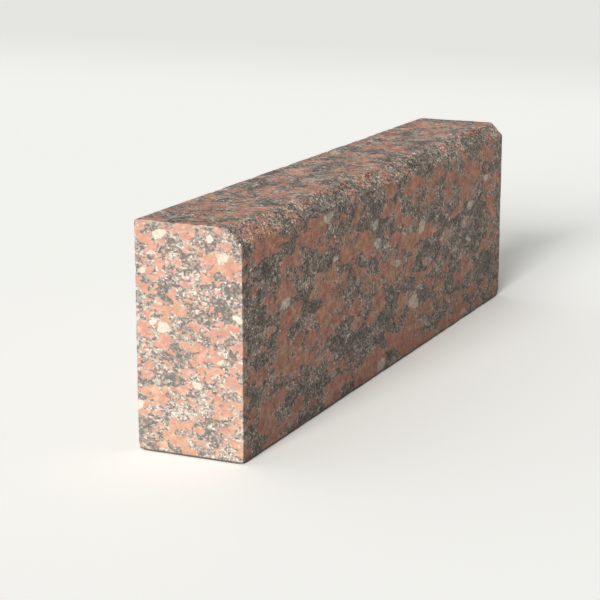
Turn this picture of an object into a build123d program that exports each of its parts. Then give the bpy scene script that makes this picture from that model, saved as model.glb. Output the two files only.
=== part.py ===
"""Granite kerb stone: one sawn block with a chamfer along its top edge on the road side.

Millimetres. The origin is the middle of the bedding face, +X runs along the kerb,
+Z is up, and the road is on the -Y side.
"""

import os

from build123d import *

# The block
LENGTH = 1000.0  # along the kerb line
WIDTH = 150.0  # from the road face to the back face
HEIGHT = 300.0  # from the bedding face to the top

# The chamfer along the top edge of the road face
CHAMFER_RUN = 20.0  # back from the road face, along the top
CHAMFER_DROP = 20.0  # down from the top, along the road face
CHAMFER_ARRIS_RADIUS = 8.0  # where the bush hammer rounded both edges of the chamfer

# All other edges, which are only eased so that they don't chip
ARRIS_RADIUS = 2.0

ROAD_SIDE = -WIDTH / 2
BACK_SIDE = WIDTH / 2

with BuildPart() as kerb_stone:
    # The section across the kerb at its left end: the sketch's x is Y, and its y is Z
    with BuildSketch(Plane.YZ.offset(-LENGTH / 2)) as section:
        with BuildLine():
            Polyline(
                (ROAD_SIDE, 0),
                (BACK_SIDE, 0),
                (BACK_SIDE, HEIGHT),
                (ROAD_SIDE + CHAMFER_RUN, HEIGHT),
                (ROAD_SIDE, HEIGHT - CHAMFER_DROP),
                close=True,
            )
        make_face()
        corners = section.vertices()
        bed_corners = corners.group_by(Axis.Y)[0]
        back_corners = corners.group_by(Axis.X)[-1]
        fillet(corners - bed_corners - back_corners, radius=CHAMFER_ARRIS_RADIUS)
    extrude(amount=LENGTH)

    # Ease the sharp long edges and the outlines of the two sawn ends together
    long_edges = kerb_stone.edges().filter_by(Axis.X)
    bed_edges = long_edges.group_by(Axis.Z)[0]
    top_back_edge = long_edges.group_by(Axis.Z)[-1].sort_by(Axis.Y)[-1]
    end_edges = kerb_stone.faces().filter_by(Axis.X).edges()
    fillet(bed_edges + end_edges + [top_back_edge], radius=ARRIS_RADIUS)

kerb_stone.part.label = "kerb_stone"

os.makedirs("parts", exist_ok=True)
export_step(kerb_stone.part, "parts/kerb_stone.step")
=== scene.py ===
"""The look of a granite kerb stone: its dressed faces, its worn edges and its minerals.

Lengths are in metres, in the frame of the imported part: the origin is the middle of the bedding face,
+X runs along the kerb, +Z is up, and the chamfer is on the road side, at -Y.
"""

import itertools
import math

import bpy
import numpy as np
from bpy.props import FloatProperty, FloatVectorProperty, IntProperty, PointerProperty
from bpy.types import Operator, Panel, PropertyGroup
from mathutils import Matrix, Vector


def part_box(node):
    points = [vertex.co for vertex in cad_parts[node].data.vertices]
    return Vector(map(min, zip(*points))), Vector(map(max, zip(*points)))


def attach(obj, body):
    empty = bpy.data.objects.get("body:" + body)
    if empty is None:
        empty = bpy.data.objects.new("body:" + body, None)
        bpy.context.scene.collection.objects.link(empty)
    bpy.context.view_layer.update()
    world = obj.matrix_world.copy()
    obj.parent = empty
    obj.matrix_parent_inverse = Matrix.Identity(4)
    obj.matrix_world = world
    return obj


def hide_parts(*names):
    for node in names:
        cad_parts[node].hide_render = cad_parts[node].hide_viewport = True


bl_info = {
    "name": "Granite Kerb Stone",
    "version": (1, 0, 0),
    "blender": (4, 5, 0),
    "location": "View3D > Sidebar > Kerb",
    "description": "Dresses a sawn granite kerb stone and stands it on a pale floor",
    "category": "Add Mesh",
}

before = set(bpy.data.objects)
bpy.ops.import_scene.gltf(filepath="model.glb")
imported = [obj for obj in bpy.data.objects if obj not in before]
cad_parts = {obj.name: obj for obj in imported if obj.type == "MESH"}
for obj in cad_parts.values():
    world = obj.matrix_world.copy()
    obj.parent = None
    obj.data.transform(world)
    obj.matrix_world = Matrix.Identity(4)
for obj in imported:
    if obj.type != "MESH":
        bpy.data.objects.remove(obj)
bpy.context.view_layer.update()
STONE_NODE = "kerb_stone"
STONE_LOW, STONE_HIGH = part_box(STONE_NODE)
MM = 0.001
MIDDLE = 0.5  # of a value from 0 to 1


class KerbShape(PropertyGroup):
    """Sizes of the worked stone."""

    cell: FloatProperty(
        name="Cell", description="Spacing of the surface grid", default=3.4 * MM, unit="LENGTH"
    )
    edge_cell: FloatProperty(
        name="Edge Cell", description="Spacing of the grid on the eased edges", default=0.9 * MM,
        unit="LENGTH",
    )
    chamfer_run: FloatProperty(
        name="Chamfer Run", description="From the road face back along the top", default=20 * MM,
        unit="LENGTH",
    )
    chamfer_drop: FloatProperty(
        name="Chamfer Drop", description="From the top down the road face", default=20 * MM, unit="LENGTH"
    )
    chamfer_arris: FloatProperty(
        name="Chamfer Arris", description="Rounding of the chamfer's two edges", default=8 * MM,
        unit="LENGTH",
    )
    long_arris: FloatProperty(
        name="Long Arris", description="Rounding of the other long edges", default=2 * MM, unit="LENGTH"
    )
    end_arris: FloatProperty(
        name="End Arris", description="Rounding around the two ends", default=1.3 * MM, unit="LENGTH"
    )
    dressing_depth: FloatProperty(
        name="Dressing Depth", description="Relief of the dressed faces", default=0.7 * MM, unit="LENGTH"
    )
    saw_depth: FloatProperty(
        name="Saw Depth", description="Relief of the sawn faces", default=0.25 * MM, unit="LENGTH"
    )
    bush_depth: FloatProperty(
        name="Bush Depth", description="Depth of the bush hammer's pits", default=1.5 * MM, unit="LENGTH"
    )
    chip_depth: FloatProperty(
        name="Chip Depth", description="Depth of the chips along the edges", default=1.3 * MM, unit="LENGTH"
    )
    seed: IntProperty(name="Seed", description="Picks one stone's relief out of many", default=11)


class GraniteLook(PropertyGroup):
    """Colours of the minerals and the sizes of their grains."""

    rose_feldspar: FloatVectorProperty(
        name="Rose Feldspar", description="The commonest patches", default=(0.585, 0.247, 0.172),
        subtype="COLOR", min=0, max=1,
    )
    orange_feldspar: FloatVectorProperty(
        name="Orange Feldspar", description="The tan patches", default=(0.572, 0.288, 0.164),
        subtype="COLOR", min=0, max=1,
    )
    dark_mica: FloatVectorProperty(
        name="Dark Mica", description="The darkest grains", default=(0.111, 0.110, 0.098),
        subtype="COLOR", min=0, max=1,
    )
    grey_quartz: FloatVectorProperty(
        name="Grey Quartz", description="The middle grains", default=(0.285, 0.250, 0.216),
        subtype="COLOR", min=0, max=1,
    )
    pale_plagioclase: FloatVectorProperty(
        name="Pale Plagioclase", description="The palest grains", default=(0.635, 0.575, 0.485),
        subtype="COLOR", min=0, max=1,
    )
    cream_crystal: FloatVectorProperty(
        name="Cream Crystal", description="The few large pale crystals", default=(0.675, 0.615, 0.500),
        subtype="COLOR", min=0, max=1,
    )
    stone_dust: FloatVectorProperty(
        name="Stone Dust", description="The film of fine dust over every face", default=(0.37, 0.28, 0.22),
        subtype="COLOR", min=0, max=1,
    )
    # Painted shadow: a dark line around the stone's foot, standing in for its contact shadow
    painted_foot_shadow: FloatVectorProperty(
        name="Painted Foot Shadow", description="The dark line around the stone's foot", default=(0.060, 0.045, 0.038),
        subtype="COLOR", min=0, max=1,
    )
    patch_size: FloatProperty(
        name="Patch Size", description="Width of the swells of feldspar", default=34 * MM, unit="LENGTH"
    )
    block_size: FloatProperty(
        name="Block Size", description="Width of the mosaic's blocks", default=11.5 * MM, unit="LENGTH"
    )
    coarseness: FloatProperty(
        name="Coarseness", description="How much larger the mosaic is away from the ends", default=1.85
    )
    lump_size: FloatProperty(
        name="Lump Size", description="Width of the mosaic's lumps", default=5 * MM, unit="LENGTH"
    )
    grain_size: FloatProperty(
        name="Grain Size", description="Width of the mosaic's grains", default=2.3 * MM, unit="LENGTH"
    )
    crystal_spacing: FloatProperty(
        name="Crystal Spacing", description="Between the places where cream crystals may grow",
        default=30 * MM, unit="LENGTH",
    )


class StageLook(PropertyGroup):
    """The floor, the light and the camera."""

    floor_reach: FloatProperty(
        name="Floor Reach", description="Half the width of the floor", default=30.0, unit="LENGTH"
    )
    floor_colour: FloatVectorProperty(
        name="Floor Colour", description="Colour of the pale floor as it lights the stone",
        default=(0.72, 0.72, 0.70), subtype="COLOR", min=0, max=1,
    )
    floor_shown: FloatVectorProperty(
        name="Floor Shown", description="Half of the tone that the floor shows",
        default=(0.64, 0.64, 0.615), subtype="COLOR", min=0, max=1,
    )
    # Painted falloff of light: the floor's shown tone darkens far along X
    far_start: FloatProperty(
        name="Far Start", description="Where the floor starts to darken, along X", default=2.6,
        unit="LENGTH",
    )
    far_end: FloatProperty(
        name="Far End", description="Where that darkening is whole", default=4.6, unit="LENGTH"
    )
    far_share: FloatProperty(name="Far Share", description="How much of the tone it takes", default=0.12)
    key_strength: FloatProperty(name="Key Strength", description="Strength of the key light", default=3.9)
    key_elevation: FloatProperty(
        name="Key Elevation", description="Height of the key light", default=math.radians(18),
        subtype="ANGLE",
    )
    key_turn: FloatProperty(
        name="Key Turn", description="From the kerb's line towards its back", default=math.radians(-3),
        subtype="ANGLE",
    )
    key_softness: FloatProperty(
        name="Key Softness", description="Angle that the key light fills", default=math.radians(26),
        subtype="ANGLE",
    )
    sky_lean: FloatProperty(
        name="Sky Lean", description="How much stronger the sky is behind the kerb than above it",
        default=1.0, min=0, max=1,
    )
    sky_strength: FloatProperty(name="Sky Strength", description="Light of the sky overhead", default=0.31)
    camera_place: FloatVectorProperty(
        name="Camera Place", description="Where the camera stands", default=(-2.412, -1.0241, 0.7311),
        subtype="TRANSLATION", unit="LENGTH",
    )
    camera_heading: FloatProperty(
        name="Camera Heading", description="From the kerb's line towards its back",
        default=math.radians(24.512), subtype="ANGLE",
    )
    camera_pitch: FloatProperty(
        name="Camera Pitch", description="How far the camera looks down", default=math.radians(13.678),
        subtype="ANGLE",
    )
    camera_lens: FloatProperty(
        name="Camera Lens", description="Focal length on a 36 mm sensor, in millimetres", default=108.2
    )


# Noise in space

HASH_MASK = np.uint64(0xFFFFFFFF)
HASH_AXES = np.array([73856093, 19349663, 83492791], np.uint64)
HASH_SEED = np.uint64(2654435761)
HASH_STIRS = ((np.uint64(15), np.uint64(2246822519)), (np.uint64(13), np.uint64(3266489917)))
HASH_FOLD = np.uint64(16)


def cell_random(cells, seed):
    """A number from 0 to 1 for each cube of a lattice, stirred from its whole numbers and the seed."""
    keys = cells.astype(np.int64).astype(np.uint64) & HASH_MASK
    mixed = ((keys * HASH_AXES).sum(-1) + np.uint64(seed) * HASH_SEED) & HASH_MASK
    for shift, factor in HASH_STIRS:
        mixed = ((mixed ^ (mixed >> shift)) * factor) & HASH_MASK
    return (mixed ^ (mixed >> HASH_FOLD)) / float(HASH_MASK)


def smooth_step(low, high, value):
    """0 below low and 1 above high, with a cubic ease between them."""
    share = np.clip((value - low) / (high - low), 0, 1)
    return share * share * (3 - 2 * share)


def smooth_noise(points, size, seed):
    """Noise from -1 to 1: random values at the corners of cubes of that size, eased between them."""
    place = points / size
    cell = np.floor(place)
    ease = smooth_step(0, 1, place - cell)
    total = np.zeros(len(points))
    for corner in itertools.product((0, 1), repeat=3):
        weight = np.where(np.array(corner) == 1, ease, 1 - ease).prod(-1)
        total += weight * cell_random(cell + corner, seed)
    return 2 * total - 1


def rough_noise(points, size, octaves, seed):
    """A sum of smooth noises, each half as large and half as strong as the one before, from -1 to 1."""
    shares = 0.5 ** np.arange(octaves)
    layers = [share * smooth_noise(points, size * share, seed + k) for k, share in enumerate(shares)]
    return np.sum(layers, axis=0) / shares.sum()


def hollows(points, size, octaves, seed):
    """Half of 1 less the rough noise: 0 on its hills and 1 in its hollows."""
    return (1 - rough_noise(points, size, octaves, seed)) / 2


def pit_distance(points, size, seed):
    """Distance to the nearest of the points strewn one to each cube of that size, in such cubes."""
    place = points / size
    cell = np.floor(place)
    nearest = np.full(len(points), np.inf)
    for offset in itertools.product((-1, 0, 1), repeat=3):
        neighbour = cell + offset
        strewn = neighbour + np.stack([cell_random(neighbour, seed + axis) for axis in range(3)], -1)
        nearest = np.minimum(nearest, np.linalg.norm(place - strewn, axis=-1))
    return nearest


# The block's surface

ARC_STEPS = 8  # on each half of a rounded corner
PATH_STEPS = 6000  # at which the spacing along a path is added up
CELL_GROWTH = 0.35  # of the spacing, for each unit of distance from an edge


def rounded_corner(before, corner, after, radius):
    """An arc that rounds a corner of an outline, as rows of its place and its outward normal.

    The arc's centre lies to the left of the way in, and the normal turns from the right of the way in
    to the right of the way out.
    """
    way_in = (corner - before) / np.linalg.norm(corner - before)
    way_out = (after - corner) / np.linalg.norm(after - corner)
    turn = math.acos(way_in @ way_out)
    left = np.array([-way_in[1], way_in[0]])
    centre = corner - way_in * radius * math.tan(turn / 2) + left * radius
    angles = math.atan2(-left[1], -left[0]) + np.linspace(0, turn, 2 * ARC_STEPS + 1)
    normals = np.stack([np.cos(angles), np.sin(angles)], -1)
    return np.hstack([centre + radius * normals, normals])


def graded_points(path, cell, edge_cell, count=None):
    """Points along a path, an edge cell apart at its two ends and growing to a whole cell away from them.

    They stand at equal steps of the integral of 1 / spacing along the path.
    """
    steps = np.linalg.norm(np.diff(path[:, :2], axis=0), axis=1)
    along = np.concatenate([[0], np.cumsum(steps)])
    fine = np.linspace(0, along[-1], PATH_STEPS)
    from_end = np.minimum(fine, along[-1] - fine)
    spacing = np.clip(edge_cell + CELL_GROWTH * from_end, edge_cell, cell)
    cells = np.concatenate([[0], np.cumsum(np.diff(fine) / spacing[1:])])
    count = count or math.ceil(cells[-1])
    stops = np.interp(np.linspace(0, cells[-1], count + 1), cells, fine)
    return np.stack([np.interp(stops, along, column) for column in path.T], -1)


def section_sides(shape):
    """The outline across the kerb as four sides that meet on its corners: bed, back, top and road.

    Each row is Y, Z and the outward normal. The top side takes in the chamfer.
    """
    road, back = STONE_LOW.y, STONE_HIGH.y
    bed, top = STONE_LOW.z, STONE_HIGH.z
    corners = np.array([
        (road, bed),
        (back, bed),
        (back, top),
        (road + shape.chamfer_run, top),
        (road, top - shape.chamfer_drop),
    ])
    radii = [shape.long_arris] * 3 + [shape.chamfer_arris] * 2
    around = zip(np.roll(corners, 1, axis=0), corners, np.roll(corners, -1, axis=0), radii)
    bed_road, bed_back, top_back, chamfer_top, chamfer_low = (rounded_corner(*corner) for corner in around)
    first, last = slice(ARC_STEPS, None), slice(None, ARC_STEPS + 1)
    top_side = graded_points(
        np.vstack([top_back[first], chamfer_top, chamfer_low[last]]), shape.cell, shape.edge_cell
    )
    back_side = graded_points(np.vstack([bed_back[first], top_back[last]]), shape.cell, shape.edge_cell)
    bed_side = graded_points(
        np.vstack([bed_road[first], bed_back[last]]), shape.cell, shape.edge_cell, len(top_side) - 1
    )
    road_side = graded_points(
        np.vstack([chamfer_low[first], bed_road[last]]), shape.cell, shape.edge_cell, len(back_side) - 1
    )
    return bed_side, back_side, top_side, road_side


def length_path(shape):
    """The way along the kerb as rows of X and inset: a quarter circle at each end and a straight run."""
    angles = np.linspace(0, math.pi / 2, ARC_STEPS + 1)
    quarter = shape.end_arris * np.stack([1 - np.cos(angles), 1 - np.sin(angles)], -1)
    left = quarter + (STONE_LOW.x, 0)
    right = quarter[::-1] * (-1, 1) + (STONE_HIGH.x, 0)
    return graded_points(np.vstack([left, right]), shape.cell, shape.edge_cell)


def end_grid(bed, back, top, road):
    """The inside points of an end, as a grid blended from its four sides.

    Each point is the mix of bed and top by height, plus the mix of road and back by width, less the mix
    of the four corners. All sides run along +Y or +Z.
    """
    width = (bed[:, 0] - bed[0, 0]) / (bed[-1, 0] - bed[0, 0])
    height = (back[:, 1] - back[0, 1]) / (back[-1, 1] - back[0, 1])
    u, v = width[:, None, None], height[None, :, None]
    corners = (1 - u) * ((1 - v) * bed[0] + v * top[0]) + u * ((1 - v) * bed[-1] + v * top[-1])
    grid = (1 - v) * bed[:, None] + v * top[:, None] + (1 - u) * road[None] + u * back[None] - corners
    return grid[1:-1, 1:-1]


def grid_quads(index):
    """Four vertex numbers for each cell of a grid of vertex numbers, round from its first corner."""
    return np.stack([index[:-1, :-1], index[1:, :-1], index[1:, 1:], index[:-1, 1:]], -1).reshape(-1, 4)


def block_surface(shape):
    """The kerb's smooth surface: its section carried along its length, with a grid over each end.

    Near the ends the section shrinks along its normals by the inset of the length path.
    """
    sides = section_sides(shape)
    ring = np.vstack([side[:-1] for side in sides])
    way = length_path(shape)
    stations, count = len(way), len(ring)
    around = ring[None, :, :2] - way[:, None, 1:] * ring[None, :, 2:]
    along = np.broadcast_to(way[:, None, :1], (stations, count, 1))
    tube = np.concatenate([along, around], -1).reshape(-1, 3)
    numbers = np.arange(stations * count).reshape(stations, count)
    quads = [grid_quads(np.hstack([numbers, numbers[:, :1]]).T)]
    points = [tube]
    starts = np.cumsum([0] + [len(side) - 1 for side in sides])
    spans = [np.arange(a, b + 1) % count for a, b in zip(starts[:-1], starts[1:])]
    bed, back, top, road = spans[0], spans[1], spans[2][::-1], spans[3][::-1]
    made = len(tube)
    for station in (0, -1):
        outline = around[station]
        inside = end_grid(outline[bed], outline[back], outline[top], outline[road])
        index = np.empty((len(bed), len(back)), int)
        index[:, 0], index[:, -1] = numbers[station][bed], numbers[station][top]
        index[-1, :], index[0, :] = numbers[station][back], numbers[station][road]
        index[1:-1, 1:-1] = made + np.arange(inside.shape[0] * inside.shape[1]).reshape(inside.shape[:2])
        made += inside.shape[0] * inside.shape[1]
        flat = inside.reshape(-1, 2)
        points.append(np.hstack([np.full((len(flat), 1), way[station, 0]), flat]))
        quads.append(grid_quads(index.T if station == 0 else index))
    return np.vstack(points), np.vstack(quads)


def surface_normals(points, quads):
    """The outward normal at each point: the crossed diagonals of the cells around it, added up."""
    corners = points[quads]
    crossed = np.cross(corners[:, 2] - corners[:, 0], corners[:, 3] - corners[:, 1])
    total = np.zeros_like(points)
    np.add.at(total, quads, crossed[:, None, :])
    return total / np.linalg.norm(total, axis=1, keepdims=True)


# The work on the stone

# Knocks on the edges: X, Y and Z as shares of the block's box, then the reach and the depth in millimetres
KNOCKS = (
    ((0, 1, 0), 11, 3.8),
    ((0, 1, 0.785), 9, 2.2),
    ((0, 0, 0), 10, 2.0),
    ((1, 1, 1), 6, 1.6),
    ((1, 0, 0), 14, 4.0),
    ((1, 1, 0.31), 11, 2.6),
)
KNOCK_UNEVEN = 0.35  # how far a knock's depth varies, as a share of it

# Depths behind the chamfer where the hammered band ends and where it is whole, and how far its margin strays
BAND_END = 4.5 * MM
BAND_WHOLE = 1.0 * MM
MARGIN_STRAY = 1.6 * MM

# How squarely a face looks along or behind the kerb or down, where it starts to be sawn and where it all is
SAWN_START = 0.80
SAWN_WHOLE = 0.97

# Sizes of the lumps of each relief, and how many sizes, each half of the last, are added up
MARGIN_LUMPS = 14 * MM
DRESSED_LUMPS = 15 * MM
SAWN_LUMPS = 40 * MM
HAMMERED_LUMPS = 10 * MM
CHIP_LUMPS = 24 * MM
KNOCK_LUMPS = 7 * MM
OCTAVES = 3
FEW_OCTAVES = 2

# Spacing of the bush hammer's pits, where a pit starts and where its floor is, in spacings, and how much of
# the hammer's depth is pits
PIT_SPACING = 8.5 * MM
PIT_RIM = 0.85
PIT_FLOOR = 0.20
PIT_SHARE = 0.55

# Chips: how far from an edge they reach, the noise at which they start and are whole, and the shares of them
# that the hammered band and the ends go without
CHIP_REACH = 9 * MM
CHIP_START = -0.05
CHIP_WHOLE = 0.65
CHIPS_LOST_BUSHED = 0.5
CHIPS_LOST_CRISP = 0.7

# Distances from an end where its crisp edge starts and where it is whole, and from an edge where its
# near-edge share does
CRISP_START = 12 * MM
CRISP_WHOLE = 4 * MM
NEAR_EDGE_START = 4 * MM
NEAR_EDGE_WHOLE = 1 * MM

# What the mesh keeps at each point: how far it is bush-hammered, sawn, or near an edge, where it is bruised
# and painted with a highlight
FINISHES = ("bushed", "sawn", "bruised")

# Added to the seed, so that no two reliefs share a pattern
DRESSED_SEED = 10
SAWN_SEED = 20
PIT_SEED = 30
HAMMERED_SEED = 40
CHIP_SEED = 50
KNOCK_SEED = 60


def face_distances(points, shape):
    """Depth of each point behind the six faces and the chamfer, as seven columns with the chamfer last."""
    low, high = np.array(STONE_LOW), np.array(STONE_HIGH)
    run, drop = shape.chamfer_run, shape.chamfer_drop
    behind = (points[:, 1] - low[1]) / run + (high[2] - points[:, 2]) / drop - 1
    chamfer = behind * run * drop / math.hypot(run, drop)
    return np.column_stack([points - low, high - points, chamfer])


def finish_shares(points, normals, shape):
    """How far each point is bush-hammered, and how far it is sawn, from 0 to 1.

    The hammered band is the chamfer with a ragged margin. The ends, the bed and the back are sawn.
    """
    chamfer = face_distances(points, shape)[:, -1]
    ragged = chamfer + MARGIN_STRAY * rough_noise(points, MARGIN_LUMPS, FEW_OCTAVES, shape.seed)
    bushed = smooth_step(BAND_END, BAND_WHOLE, ragged)
    facing = np.stack([np.abs(normals[:, 0]), -normals[:, 2], normals[:, 1]]).max(0)
    sawn = smooth_step(SAWN_START, SAWN_WHOLE, facing)
    return bushed, sawn * (1 - bushed)


def edge_distance(points, shape):
    """Distance of each point from the nearest edge: its depth behind the second nearest face."""
    return np.sort(face_distances(points, shape), axis=1)[:, 1]


def worked_depth(points, normals, shape):
    """How far the tools and the wear took each point inwards.

    Sawn faces wander a little, dressed faces are rough, the hammered band is pitted, and the edges have
    chips where a coarse noise is high, fewer around the ends. Each knock is a bowl around its own point.
    """
    seed = shape.seed
    bushed, sawn = finish_shares(points, normals, shape)
    worn = np.clip(1 - edge_distance(points, shape) / CHIP_REACH, 0, 1) ** 2
    crisp = smooth_step(CRISP_START, CRISP_WHOLE, STONE_HIGH.x - np.abs(points[:, 0]))
    dressed = shape.dressing_depth * hollows(points, DRESSED_LUMPS, OCTAVES, seed + DRESSED_SEED)
    wander = shape.saw_depth * hollows(points, SAWN_LUMPS, OCTAVES, seed + SAWN_SEED)
    pits = smooth_step(PIT_RIM, PIT_FLOOR, pit_distance(points, PIT_SPACING, seed + PIT_SEED))
    rough = hollows(points, HAMMERED_LUMPS, FEW_OCTAVES, seed + HAMMERED_SEED)
    hammered = shape.bush_depth * (PIT_SHARE * pits + (1 - PIT_SHARE) * rough)
    coarse = rough_noise(points, CHIP_LUMPS, OCTAVES, seed + CHIP_SEED)
    chips = smooth_step(CHIP_START, CHIP_WHOLE, coarse)
    kept = (1 - CHIPS_LOST_BUSHED * bushed) * (1 - CHIPS_LOST_CRISP * crisp)
    depth = sawn * wander + bushed * hammered + (1 - sawn - bushed) * dressed
    depth = depth + shape.chip_depth * worn * chips * kept
    low, high = np.array(STONE_LOW), np.array(STONE_HIGH)
    uneven = 1 + KNOCK_UNEVEN * rough_noise(points, KNOCK_LUMPS, FEW_OCTAVES, seed + KNOCK_SEED)
    for share, reach, knock in KNOCKS:
        away = np.linalg.norm(points - (low + (high - low) * share), axis=1) / (reach * MM)
        depth = np.maximum(depth, knock * MM * np.clip(1 - away, 0, 1) * uneven)
    return depth


def make_stone(name, shape):
    """The worked stone: the smooth block moved in along its normals by the worked depth."""
    points, quads = block_surface(shape)
    normals = surface_normals(points, quads)
    depth = worked_depth(points, normals, shape)
    bushed, sawn = finish_shares(points, normals, shape)
    bruised = (1 - bushed) * smooth_step(NEAR_EDGE_START, NEAR_EDGE_WHOLE, edge_distance(points, shape))
    mesh = bpy.data.meshes.new(name)
    mesh.from_pydata(points - normals * depth[:, None], [], quads)
    for finish, share in zip(FINISHES, (bushed, sawn, bruised)):
        mesh.attributes.new(finish, "FLOAT", "POINT").data.foreach_set("value", share.astype(np.float32))
    mesh.shade_smooth()
    mesh.update()
    stone = bpy.data.objects.new(name, mesh)
    bpy.context.scene.collection.objects.link(stone)
    return stone


# Shader maths


class Channel:
    """A value on its way through a material, with arithmetic that adds Math nodes."""

    def __init__(self, paint, socket):
        self.paint = paint
        self.socket = socket

    def math(self, operation, *values):
        """The result of a Math node."""
        return self.paint.node("ShaderNodeMath", {"operation": operation}, dict(enumerate(values)))

    def __add__(self, other):
        return self.math("ADD", self, other)

    def __sub__(self, other):
        return self.math("SUBTRACT", self, other)

    def __mul__(self, other):
        return self.math("MULTIPLY", self, other)

    def __truediv__(self, other):
        return self.math("DIVIDE", self, other)

    def __rsub__(self, other):
        return self.math("SUBTRACT", other, self)

    __radd__ = __add__
    __rmul__ = __mul__

    def above(self, other):
        """The larger of two values."""
        return self.math("MAXIMUM", self, other)

    def size(self):
        """The value without its sign."""
        return self.math("ABSOLUTE", self)

    def step(self, low, high):
        """0 at low and 1 at high, with a smooth ease between them."""
        settings = {"interpolation_type": "SMOOTHSTEP"}
        return self.paint.node("ShaderNodeMapRange", settings, {"Value": self, 1: low, 2: high})

    def swing(self, weight):
        """How far the value is above the middle of 0 to 1, times a weight."""
        return weight * (self - MIDDLE)

    def beside(self, output):
        """Another output of the node that this value comes from."""
        return Channel(self.paint, self.socket.node.outputs[output])


class Paint:
    """The node tree of a material or a world, emptied."""

    def __init__(self, owner):
        owner.use_nodes = True
        self.tree = owner.node_tree
        self.tree.nodes.clear()

    def node(self, kind, settings=None, inputs=None, output=0):
        """Adds a node, sets it up, fills or links its sockets and gives one of its outputs, or none."""
        node = self.tree.nodes.new(kind)
        for name, value in (settings or {}).items():
            if name == "stops":
                self.set_stops(node.color_ramp, value)
            else:
                setattr(node, name, value)
        for name, value in (inputs or {}).items():
            if isinstance(value, Channel):
                self.tree.links.new(value.socket, node.inputs[name])
            else:
                node.inputs[name].default_value = value
        return None if output is None else Channel(self, node.outputs[output])

    @staticmethod
    def set_stops(ramp, stops):
        """Gives a ramp its stops, as pairs of a place and a colour."""
        while len(ramp.elements) < len(stops):
            ramp.elements.new(1.0)
        for element, (place, colour) in zip(ramp.elements, stops):
            element.position = place
            element.color = (*colour, 1)

    def mix(self, share, first, second, blend="MIX"):
        """A colour between two others."""
        settings = {"data_type": "RGBA", "blend_type": blend}
        first, second = (c if isinstance(c, Channel) else (*c, 1) for c in (first, second))
        return self.node("ShaderNodeMix", settings, {0: share, 6: first, 7: second}, 2)

    def vector(self, operation, *values):
        """Vector arithmetic."""
        return self.node("ShaderNodeVectorMath", {"operation": operation}, dict(enumerate(values)))

    def noise(self, place, size, detail=2.0, roughness=0.5):
        """Smooth noise whose largest lumps have that size, about 0.5."""
        inputs = {"Vector": place, "Scale": 1 / size, "Detail": detail, "Roughness": roughness}
        return self.node("ShaderNodeTexNoise", {}, inputs)

    def cells(self, place, size):
        """Distance to the nearest of points strewn that far apart, in such sizes, beside its colour."""
        return self.node("ShaderNodeTexVoronoi", {}, {"Vector": place, "Scale": 1 / size})

    def own_random(self, cells):
        """Three numbers from 0 to 1 that belong to each cell."""
        parts = self.node("ShaderNodeSeparateColor", {}, {0: cells.beside("Color")})
        return parts, parts.beside(1), parts.beside(2)

    def shifted(self, place, size, reach, detail=1.0):
        """A place moved about by noise of that size, as far as that reach."""
        wobble = self.vector("SUBTRACT", self.noise(place, size, detail).beside("Color"), (MIDDLE,) * 3)
        return self.vector("ADD", place, self.vector("MULTIPLY", wobble, (2 * reach,) * 3))

    def attribute(self, name):
        """A share that the mesh holds at each point."""
        return self.node("ShaderNodeAttribute", {"attribute_name": name}, {}, "Fac")

    def show_by_ray(self, lighting, shown):
        """One shader for what lights the object, and another for what is seen directly or mirrored."""
        path = self.node("ShaderNodeLightPath", {}, {}, "Is Camera Ray")
        seen = path.above(path.beside("Is Glossy Ray")).above(path.beside("Is Transmission Ray"))
        return self.node("ShaderNodeMixShader", {}, {0: seen, 1: lighting, 2: shown})


# The granite

# How the minerals and their grains lie: longer along the kerb and across it than in height
LIE_OF_MINERALS = (0.52, 0.68, 1.0)
LIE_OF_GRAINS = (0.8, 0.8, 1.0)

# Size and reach of the noises that jostle the grains, bend the mosaic, make its outlines wavy and draw the
# crystals out of round
JOSTLE = (4 * MM, 1 * MM)
BEND = (18 * MM, 5 * MM)
WAVE = (6 * MM, 1.8 * MM)
DRAW_OUT = (22 * MM, 7 * MM)

# How far a grain on a patch's outline may belong to the other side, as a share of a block
INTERLOCK = 0.07

# What makes a place rich in feldspar: the broad swell, the draws of its block, lump and grain, the nearness
# of the block's middle, and the coarse mosaic; then the level taken off, and half the width of an outline
RICH_BY_SWELL = 1.15
RICH_BY_BLOCK = 1.1
RICH_BY_LUMP = 0.46
RICH_BY_GRAIN = 0.22
RICH_BY_NEARNESS = 0.75
NEARNESS_REACH = 0.45
RICH_WHERE_COARSE = 0.04
RICH_LEVEL = 0.06
PATCH_OUTLINE = 0.05

# Depths behind the ends, and below the top, where their own mosaic starts and where it is whole, and how much
# of the top's is the fine one
END_ZONE = (60 * MM, 10 * MM)
TOP_ZONE = (22 * MM, 2 * MM)
FINE_ON_TOP = 0.65

# The ground's tone, what moves it, and the tones of its five minerals from the darkest to the palest
TONE_LEVEL = 0.48
TONE_BY_GRAIN = 0.84
TONE_BY_LUMP = 0.45
TONE_BY_RICHNESS = 0.5
RICHNESS_OF_GROUND = -0.36
TONE_BY_THICKET = 0.65
THICKET_SIZE = 30 * MM
TONE_ON_SAWN = 0.03
TONE_STOPS = (0.20, 0.42, 0.58, 0.80, 0.95)
ROSE_COVER = 0.45
ROSE_DRAWS = (0.78, 0.84)

# What moves the feldspar's tint, and the limits between which it turns from rose to orange
TINT_BY_BLOCK = 0.55
TINT_BY_LUMP = 0.35
TINT_BY_CLOUD = 0.9
TINT_BY_FOOT = 0.5
TINTED_FOOT = 110 * MM
TINT_LIMITS = (0.42, 0.80)
CLOUD_SIZE = 9 * MM

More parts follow.
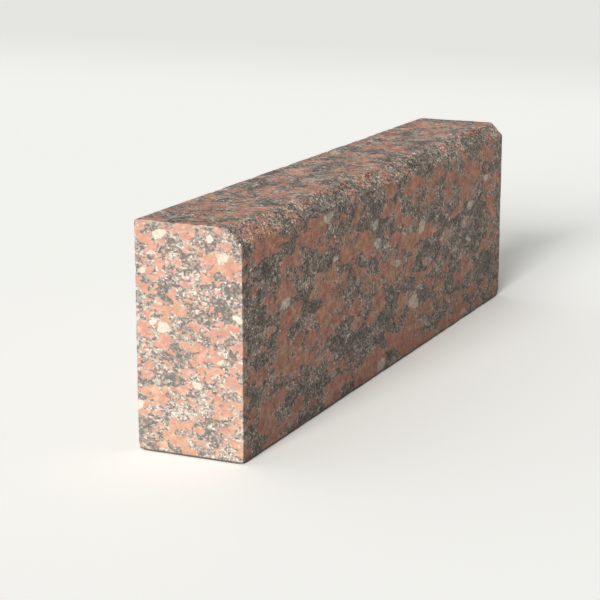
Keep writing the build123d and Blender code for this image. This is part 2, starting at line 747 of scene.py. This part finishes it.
# Shares of pale and of grey mineral in the feldspar, and the draws or clouds at which they come in
RIM_WIDTH = 0.35
PALE_IN_RIM = 0.12
PALE_IN_CLOUD = 0.22
PALE_CLOUDS = (0.50, 0.78)
PALE_IN_GRAIN = 0.24
PALE_GRAINS = (0.86, 0.95)
PALE_IN_LUMP = 0.14
PALE_LUMPS = (0.65, 1.0)
GREY_IN_GRAIN = 0.30
GREY_GRAINS = (0.86, 0.96)
GREY_IN_BLOCK = 0.16

# Cream crystals: the chance of one, its half width in spacings, its soft outline, and how well it covers
CRYSTAL_CHANCE = 0.5
CHANCE_OUTLINE = 0.001
GIRTH_LEVEL = 0.10
GIRTH_BY_DRAW = 0.14
GIRTH_BY_CLOUD = 0.35
CRYSTAL_OUTLINE = (-0.03, 0.04)
CRYSTAL_COVER = 0.95
COVER_LOST_DRESSED = 0.20
COVER_LOST_IN_CLOUD = 0.5
COVER_CLOUDS = (0.50, 0.72)

# Sizes of the fine grain
DUST_SIZE = 1.4 * MM
SPECK_SIZE = 1.9 * MM
GRIT_SIZE = 2.6 * MM
RIPPLE_SIZE = 6 * MM
WEATHER_SIZE = 8 * MM

# The film of dust, and the pale bruises that the saw, the bush hammer and wear left; near the edges the
# paleness is also a painted highlight
DUST_COVER = 0.08
DUST_LOST_ON_PINK = 0.03
SAW_BRUISE = 0.03
BUSH_BRUISE = 0.15
EDGE_BRUISE_AND_HIGHLIGHT = 0.15

# How much lighter or darker pits, specks, clouds and the place on the stone make it; the pits are darker
# where the relief's grit and dust are low, partly dirt and partly painted shade
LIGHT_BY_DUST = 0.4
LIGHT_BY_GRIT = 0.7
LIGHT_BY_WEATHER = 1.7
PITS_LOST_SAWN = 0.75
LIGHT_BY_SPECK = 0.6
LIGHT_BY_BUSHED_SPECK = 0.55
# Pale flecks on the dressed faces, partly pale grains and partly painted glints: their lightness, draws and
# the level taken off
FLECK_AND_GLINT_LIGHT = 0.55
FLECK_DRAWS = (0.86, 0.94)
FLECK_LEVEL = 0.04
SPECKS_LOST_SAWN = 0.72
SPECKS_LOST_ON_PINK = 0.7
DRESSED_LIGHT = 0.02
CRYSTAL_LIGHT = 0.22
PINK_LIGHT = 0.03
# Painted shade in the hammered band: darker where its grit relief is low
LIGHT_BY_BUSHED_GRIT = 1.6
LIGHT_BY_TOP_CLOUD = 1.0
TOP_DARKNESS = 0.04
LIGHT_BY_SAWN_CLOUD = 0.7
# Painted shade towards the foot of the dressed faces: the height it reaches up to, and its darkness at the
# foot
PAINTED_SHADE_HEIGHT = 180 * MM
PAINTED_FOOT_SHADE = 0.28

# The painted shadow line along the stone's foot: the heights where it thins out and ends, how far that
# strays, how well it covers, and how near an edge a point has to be to hold it all
FOOT_SHADOW_HEIGHTS = (2.5 * MM, 4.0 * MM)
FOOT_SHADOW_STRAY = 3 * MM
FOOT_SHADOW_COVER = 0.9
FOOT_SHADOW_EDGE = 0.5

# Roughness and relief of the finishes
ROUGH_LEVEL = 0.80
ROUGH_BY_GRIT = 0.12
ROUGH_LOST_SAWN = 0.16
ROUGH_BUSHED = 0.06
RELIEF_OF_RIPPLES = 1.1
RELIEF_OF_GRIT = 0.9
RELIEF_LOST_SAWN = 0.85
RELIEF_OF_BUSHED_GRIT = 1.2
RELIEF_OF_PINK = 0.12
RELIEF_OF_DUST = 0.1
RELIEF_HEIGHT = 1 * MM
SPECULAR_LEVEL = 0.35


class Mosaic:
    """Blocks and lumps of mineral at one scale, and how rich in feldspar they make the stone.

    The richness is high where a broad noise is, in blocks and lumps with a high draw, and in the middle of
    each block. It is above 0 in feldspar. Each grain is drawn a little way from its own place, so that the
    patches interlock. Clouds are a finer noise. A crystal fills the middle of about half the cells of a wide
    spacing, as far as its own draw and the clouds let it.
    """

    def __init__(self, paint, lying, look, scale, grain_offset):
        spread = math.sqrt(scale)
        bend_size, bend_reach = BEND
        wave_size, wave_reach = WAVE
        draw_size, draw_reach = DRAW_OUT
        bent = paint.shifted(lying, scale * bend_size, scale * bend_reach)
        wavy = paint.shifted(bent, spread * wave_size, scale * wave_reach, detail=2.0)
        reach = INTERLOCK * scale * look.block_size
        self.ragged = paint.vector("ADD", wavy, paint.vector("MULTIPLY", grain_offset, (reach,) * 3))
        blocks = paint.cells(self.ragged, scale * look.block_size)
        block_draw, block_tint, self.block_shade = paint.own_random(blocks)
        lumps = paint.cells(self.ragged, scale * look.lump_size)
        lump_draw, self.lump_tint, lump_shade = paint.own_random(lumps)
        swell = paint.noise(bent, scale * look.patch_size, detail=1.0)
        drawn = swell.swing(RICH_BY_SWELL) + block_draw.swing(RICH_BY_BLOCK) + lump_draw.swing(RICH_BY_LUMP)
        self.richness = drawn + RICH_BY_NEARNESS * (NEARNESS_REACH - blocks) - RICH_LEVEL
        self.tint = TINT_BY_BLOCK * block_tint + TINT_BY_LUMP * lump_shade
        self.cloud = paint.noise(self.ragged, scale * CLOUD_SIZE, detail=3.0, roughness=0.6)
        drawn_out = paint.shifted(lying, scale * draw_size, scale * draw_reach)
        strewn = paint.cells(drawn_out, spread * look.crystal_spacing)
        chance, girth = paint.own_random(strewn)[:2]
        grown = (CRYSTAL_CHANCE - chance).step(0.0, CHANCE_OUTLINE)
        swollen = GIRTH_LEVEL + GIRTH_BY_DRAW * girth + self.cloud.swing(GIRTH_BY_CLOUD)
        self.crystal = grown * (swollen - strewn).step(*CRYSTAL_OUTLINE)


class Granite:
    """What the granite's colour, roughness and relief share, and the steps that work them out.

    A fine mosaic lies near the two ends, a coarse one between them, and a mixture of both on the top.
    """

    def __init__(self, paint, look):
        self.paint = paint
        self.look = look
        self.place = paint.node("ShaderNodeTexCoord", {}, {}, "Object")
        self.bushed, self.sawn, self.bruised = (paint.attribute(name) for name in FINISHES)
        self.dressed = 1 - self.sawn
        lying = paint.vector("MULTIPLY", self.place, LIE_OF_MINERALS)
        self.jostled = paint.shifted(paint.vector("MULTIPLY", self.place, LIE_OF_GRAINS), *JOSTLE)
        grains = paint.cells(self.jostled, look.grain_size)
        grain_draw, self.grain_tint, self.grain_shade = paint.own_random(grains)
        grain_offset = paint.vector("SUBTRACT", grains.beside("Color"), (MIDDLE,) * 3)
        scales = (1.0, look.coarseness)
        self.fine, self.coarse = (Mosaic(paint, lying, look, scale, grain_offset) for scale in scales)
        along = paint.node("ShaderNodeSeparateXYZ", {}, {0: self.place}, "X")
        self.height = along.beside("Z")
        self.inward = 1 - along.size().step(*(STONE_HIGH.x - depth for depth in END_ZONE))
        self.topmost = self.height.step(*(STONE_HIGH.z - depth for depth in TOP_ZONE))
        self.mingled = self.inward * (1 - FINE_ON_TOP * self.topmost)
        richness = self.blend("richness", self.mingled) + grain_draw.swing(RICH_BY_GRAIN)
        self.richness = richness + RICH_WHERE_COARSE * self.mingled
        self.feldspar = self.richness.step(-PATCH_OUTLINE, PATCH_OUTLINE)
        self.dressed_pink = self.dressed * self.feldspar
        self.lump_tint = self.blend("lump_tint", self.mingled)
        self.crystal = self.blend("crystal", self.inward)
        self.dust = paint.noise(self.place, DUST_SIZE, detail=2.0, roughness=0.7)
        self.grit = paint.noise(self.place, GRIT_SIZE, detail=2.0, roughness=0.7)

    def blend(self, name, share):
        """A value of the fine mosaic that turns into the coarse one's by a share."""
        fine, coarse = getattr(self.fine, name), getattr(self.coarse, name)
        return fine + share * (coarse - fine)

    def ground(self):
        """Colour of the ground between the patches, paler towards them: one tone for each grain."""
        look = self.look
        thicket = self.paint.noise(self.fine.ragged, THICKET_SIZE, detail=1.0)
        tone = TONE_LEVEL + self.grain_tint.swing(TONE_BY_GRAIN) + self.lump_tint.swing(TONE_BY_LUMP)
        tone = tone + TONE_BY_RICHNESS * (self.richness - RICHNESS_OF_GROUND)
        tone = tone + thicket.swing(TONE_BY_THICKET) + TONE_ON_SAWN * self.sawn
        minerals = (
            look.dark_mica,
            between(look.dark_mica, look.grey_quartz),
            look.grey_quartz,
            between(look.grey_quartz, look.pale_plagioclase),
            look.pale_plagioclase,
        )
        stops = list(zip(TONE_STOPS, minerals))
        ground = self.paint.node("ShaderNodeValToRGB", {"stops": stops}, {0: tone})
        return self.paint.mix(ROSE_COVER * self.grain_shade.step(*ROSE_DRAWS), ground, look.rose_feldspar)

    def pink(self):
        """Colour of the feldspar, tinted by blocks, clouds and the foot of sawn faces, paler at its rims."""
        look, cloud = self.look, self.fine.cloud
        near_foot = self.sawn * (1 - self.height / TINTED_FOOT).above(0.0)
        tint = self.blend("tint", self.mingled) + cloud.swing(TINT_BY_CLOUD) + TINT_BY_FOOT * near_foot
        pink = self.paint.mix(tint.step(*TINT_LIMITS), look.rose_feldspar, look.orange_feldspar)
        rim = 1 - self.richness.step(0.0, RIM_WIDTH)
        pale = PALE_IN_RIM * rim + PALE_IN_CLOUD * cloud.step(*PALE_CLOUDS)
        pale = pale + PALE_IN_GRAIN * self.grain_tint.step(*PALE_GRAINS)
        pale = pale + PALE_IN_LUMP * self.lump_tint.step(*PALE_LUMPS)
        pink = self.paint.mix(pale, pink, look.pale_plagioclase)
        grey = GREY_IN_GRAIN * (1 - self.grain_tint).step(*GREY_GRAINS)
        grey = grey + GREY_IN_BLOCK * self.blend("block_shade", self.mingled)
        return self.paint.mix(grey, pink, look.grey_quartz)

    def light(self):
        """What the colour is multiplied by: 1, with pits, specks and clouds, and painted shade towards the
        foot.
        """
        bushed, sawn, dressed, topmost = self.bushed, self.sawn, self.dressed, self.topmost
        weather = self.paint.noise(self.place, WEATHER_SIZE, detail=3.0, roughness=0.65)
        # Pits darken where the relief's grit and dust are low: partly dirt, partly painted shade in the
        # hollows
        pits = self.dust.swing(LIGHT_BY_DUST) + self.grit.swing(LIGHT_BY_GRIT)
        pits = pits + weather.swing(LIGHT_BY_WEATHER)
        speck = self.paint.own_random(self.paint.cells(self.jostled, SPECK_SIZE))[0]
        specks = speck.swing(LIGHT_BY_SPECK + LIGHT_BY_BUSHED_SPECK * bushed)
        # Pale flecks: partly pale grains, partly painted glints
        flecks_and_glints = FLECK_AND_GLINT_LIGHT * speck.step(*FLECK_DRAWS) - FLECK_LEVEL
        speckled = (1 - SPECKS_LOST_SAWN * sawn) * (1 - SPECKS_LOST_ON_PINK * (1 - bushed) * self.feldspar)
        light = 1 + (1 - PITS_LOST_SAWN * sawn) * pits + speckled * (specks + flecks_and_glints)
        light = light + (DRESSED_LIGHT + CRYSTAL_LIGHT * self.crystal) * dressed
        # In the hammered band, painted shade where its grit relief is low
        light = light + PINK_LIGHT * self.dressed_pink + bushed * self.grit.swing(LIGHT_BY_BUSHED_GRIT)
        light = light + self.coarse.cloud.swing(dressed * (1 + LIGHT_BY_TOP_CLOUD * topmost))
        light = light - TOP_DARKNESS * topmost
        light = light + self.fine.cloud.swing(LIGHT_BY_SAWN_CLOUD * sawn * self.feldspar)
        # Painted shade: the dressed faces grow darker towards their foot
        low = (1 - self.height / PAINTED_SHADE_HEIGHT).above(0.0)
        return light * (1 - PAINTED_FOOT_SHADE * dressed * low * low)

    def colour(self):
        """The minerals, then the crystals, the dust, the bruises and painted edge highlight, the surface's
        light and the painted foot shadow.
        """
        paint, look = self.paint, self.look
        colour = paint.mix(self.feldspar, self.ground(), self.pink())
        clouded = self.blend("cloud", self.mingled).step(*COVER_CLOUDS)
        cover = CRYSTAL_COVER - COVER_LOST_DRESSED * self.dressed - COVER_LOST_IN_CLOUD * clouded
        colour = paint.mix(self.crystal * cover, colour, look.cream_crystal)
        colour = paint.mix(DUST_COVER - DUST_LOST_ON_PINK * self.dressed_pink, colour, look.stone_dust)
        # Paler near the edges: partly bruising, partly a painted highlight
        bruises = SAW_BRUISE * self.sawn + BUSH_BRUISE * self.bushed + EDGE_BRUISE_AND_HIGHLIGHT * self.bruised
        colour = paint.mix(bruises, colour, look.pale_plagioclase)
        light = self.light()
        shade = paint.node("ShaderNodeCombineColor", {}, {0: light, 1: light, 2: light})
        colour = paint.mix(1.0, colour, shade, "MULTIPLY")
        # Painted shadow: a dark line along the foot, near the edges
        foot = 1 - (self.height + self.grit.swing(FOOT_SHADOW_STRAY)).step(*FOOT_SHADOW_HEIGHTS)
        return paint.mix(FOOT_SHADOW_COVER * foot * self.bruised.step(0.0, FOOT_SHADOW_EDGE), colour, look.painted_foot_shadow)

    def roughness(self):
        """Roughness of the surface: less where it is sawn, more where it is hammered, uneven by the grit."""
        rough = ROUGH_LEVEL + self.grit.swing(ROUGH_BY_GRIT)
        return rough - ROUGH_LOST_SAWN * self.sawn + ROUGH_BUSHED * self.bushed

    def relief(self):
        """The finest relief, as a bump: ripples and grit, most in the hammered band, least where sawn."""
        ripples = self.paint.noise(self.place, RIPPLE_SIZE, detail=3.0, roughness=0.6)
        rough = RELIEF_OF_RIPPLES * ripples + RELIEF_OF_GRIT * self.grit
        height = (1 - RELIEF_LOST_SAWN * self.sawn) * rough + self.bushed * RELIEF_OF_BUSHED_GRIT * self.grit
        height = height + RELIEF_OF_PINK * self.feldspar + RELIEF_OF_DUST * self.dust
        inputs = {"Strength": 1.0, "Distance": RELIEF_HEIGHT, "Height": height}
        return self.paint.node("ShaderNodeBump", {}, inputs)


def granite(look):
    """Granite: a mosaic of blocks, lumps and grains, coloured by how rich in feldspar each of them is."""
    material = bpy.data.materials.new("dressed_granite")
    paint = Paint(material)
    stone = Granite(paint, look)
    shader = paint.node("ShaderNodeBsdfPrincipled", {}, {
        "Base Color": stone.colour(),
        "Roughness": stone.roughness(),
        "Specular IOR Level": SPECULAR_LEVEL,
        "Normal": stone.relief(),
    })
    paint.node("ShaderNodeOutputMaterial", {}, {"Surface": shader}, None)
    return material


def between(first, second):
    """The colour half way between two others."""
    return tuple((a + b) / 2 for a, b in zip(first, second))


# The stage

FLOOR_ROWS = 3  # points along each side of the floor
KEY_DISTANCE = 4.0  # of the key light from the stone
SENSOR_WIDTH = 36  # in millimetres


def floor_paint(look):
    """A pale floor that keeps the stone's shadow, shown to the camera paler than it lights the stone.

    Its shown tone falls off a little, far along the kerb's line, as a painted falloff of light.
    """
    material = bpy.data.materials.new("pale_floor")
    paint = Paint(material)
    place = paint.node("ShaderNodeTexCoord", {}, {}, "Object")
    along = paint.node("ShaderNodeSeparateXYZ", {}, {0: place}, "X")
    # Painted falloff of light: the shown floor darkens far along the kerb's line
    far = 1 - look.far_share * along.step(look.far_start, look.far_end)
    lit = paint.node("ShaderNodeBsdfDiffuse", {}, {"Color": (*look.floor_colour, 1)})
    half = paint.node("ShaderNodeBsdfDiffuse", {}, {"Color": (*look.floor_shown, 1)})
    bright = paint.node("ShaderNodeAddShader", {}, {0: half, 1: half})
    dark = paint.node("ShaderNodeBsdfDiffuse", {}, {"Color": (0, 0, 0, 1)})
    shown = paint.node("ShaderNodeMixShader", {}, {0: far, 1: dark, 2: bright})
    paint.node("ShaderNodeOutputMaterial", {}, {"Surface": paint.show_by_ray(lit, shown)}, None)
    return material


def make_floor(look):
    """A flat square floor at the height of the bedding face."""
    reach, level = look.floor_reach, STONE_LOW.z
    sides = np.linspace(-reach, reach, FLOOR_ROWS)
    x, y = np.meshgrid(sides, sides, indexing="ij")
    points = np.stack([x, y, np.full_like(x, level)], -1).reshape(-1, 3)
    mesh = bpy.data.meshes.new("floor")
    mesh.from_pydata(points, [], grid_quads(np.arange(points.shape[0]).reshape(x.shape)))
    mesh.materials.append(floor_paint(look))
    floor = bpy.data.objects.new("floor", mesh)
    bpy.context.scene.collection.objects.link(floor)
    return floor


def make_sky(look):
    """Soft light from all around, stronger from behind the kerb, shown to the camera in the floor's tone."""
    world = bpy.data.worlds.new("studio")
    bpy.context.scene.world = world
    paint = Paint(world)
    ahead = paint.node("ShaderNodeTexCoord", {}, {}, "Generated")
    to_back = paint.node("ShaderNodeSeparateXYZ", {}, {0: ahead}, "Y")
    strengths = (look.sky_strength * (1 - look.sky_lean), look.sky_strength * (1 + look.sky_lean))
    weak, strong = (
        paint.node("ShaderNodeBackground", {}, {"Color": (1, 1, 1, 1), "Strength": strength})
        for strength in strengths
    )
    lit = paint.node("ShaderNodeMixShader", {}, {0: (1 + to_back) / 2, 1: weak, 2: strong})
    shown = paint.node("ShaderNodeBackground", {}, {"Color": (*look.floor_colour, 1)})
    paint.node("ShaderNodeOutputWorld", {}, {"Surface": paint.show_by_ray(lit, shown)}, None)


def make_key(look):
    """A broad soft light from low down in front of the left end."""
    flat = math.cos(look.key_elevation)
    towards = Vector((
        -flat * math.cos(look.key_turn), flat * math.sin(look.key_turn), math.sin(look.key_elevation)
    ))
    lamp = bpy.data.lights.new("key", "SUN")
    lamp.energy = look.key_strength
    lamp.angle = look.key_softness
    key = bpy.data.objects.new("key", lamp)
    key.rotation_euler = towards.to_track_quat("Z", "Y").to_euler()
    key.location = towards * KEY_DISTANCE
    bpy.context.scene.collection.objects.link(key)


def make_camera(look):
    """The camera at the photograph's place, looking along its heading and down by its pitch."""
    flat = math.cos(look.camera_pitch)
    ahead = Vector((
        flat * math.cos(look.camera_heading),
        flat * math.sin(look.camera_heading),
        -math.sin(look.camera_pitch),
    ))
    data = bpy.data.cameras.new("camera")
    data.sensor_width = SENSOR_WIDTH
    data.lens = look.camera_lens
    camera = bpy.data.objects.new("camera", data)
    camera.location = look.camera_place
    camera.rotation_euler = ahead.to_track_quat("-Z", "Y").to_euler()
    bpy.context.scene.collection.objects.link(camera)
    bpy.context.scene.camera = camera


# Operators and panel


class KERB_OT_stone(Operator):
    """Build the dressed granite stone in place of the plain block"""

    bl_idname = "kerb.stone"
    bl_label = "Build Kerb Stone"

    def execute(self, context):
        stone = make_stone("dressed_kerb_stone", context.scene.kerb_shape)
        stone.data.materials.append(granite(context.scene.kerb_granite))
        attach(stone, "root")
        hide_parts(STONE_NODE)
        return {"FINISHED"}


class KERB_OT_stage(Operator):
    """Set up the pale floor, the soft light and the camera"""

    bl_idname = "kerb.stage"
    bl_label = "Build Stage"

    def execute(self, context):
        look = context.scene.kerb_stage
        make_floor(look)
        make_sky(look)
        make_key(look)
        make_camera(look)
        context.scene.view_settings.view_transform = "Standard"
        return {"FINISHED"}


class KERB_PT_panel(Panel):
    """Lists the stone's and the stage's settings and operators"""

    bl_idname = "KERB_PT_panel"
    bl_label = "Granite Kerb Stone"
    bl_space_type = "VIEW_3D"
    bl_region_type = "UI"
    bl_category = "Kerb"

    def draw(self, context):
        for group in (context.scene.kerb_shape, context.scene.kerb_granite, context.scene.kerb_stage):
            box = self.layout.box()
            for name in group.__annotations__:
                box.prop(group, name)
        for operator in (KERB_OT_stone, KERB_OT_stage):
            self.layout.operator(operator.bl_idname)


CLASSES = (KerbShape, GraniteLook, StageLook, KERB_OT_stone, KERB_OT_stage, KERB_PT_panel)
SCENE_GROUPS = {"kerb_shape": KerbShape, "kerb_granite": GraniteLook, "kerb_stage": StageLook}


def register():
    """Adds the classes, and their settings to the scene."""
    for cls in CLASSES:
        bpy.utils.register_class(cls)
    for name, group in SCENE_GROUPS.items():
        setattr(bpy.types.Scene, name, PointerProperty(type=group))


def unregister():
    """Takes away what register added."""
    for name in SCENE_GROUPS:
        delattr(bpy.types.Scene, name)
    for cls in reversed(CLASSES):
        bpy.utils.unregister_class(cls)


def main():
    """Builds the stone and the stage."""
    register()
    bpy.ops.kerb.stone()
    bpy.ops.kerb.stage()


if __name__ == "__main__":
    main()
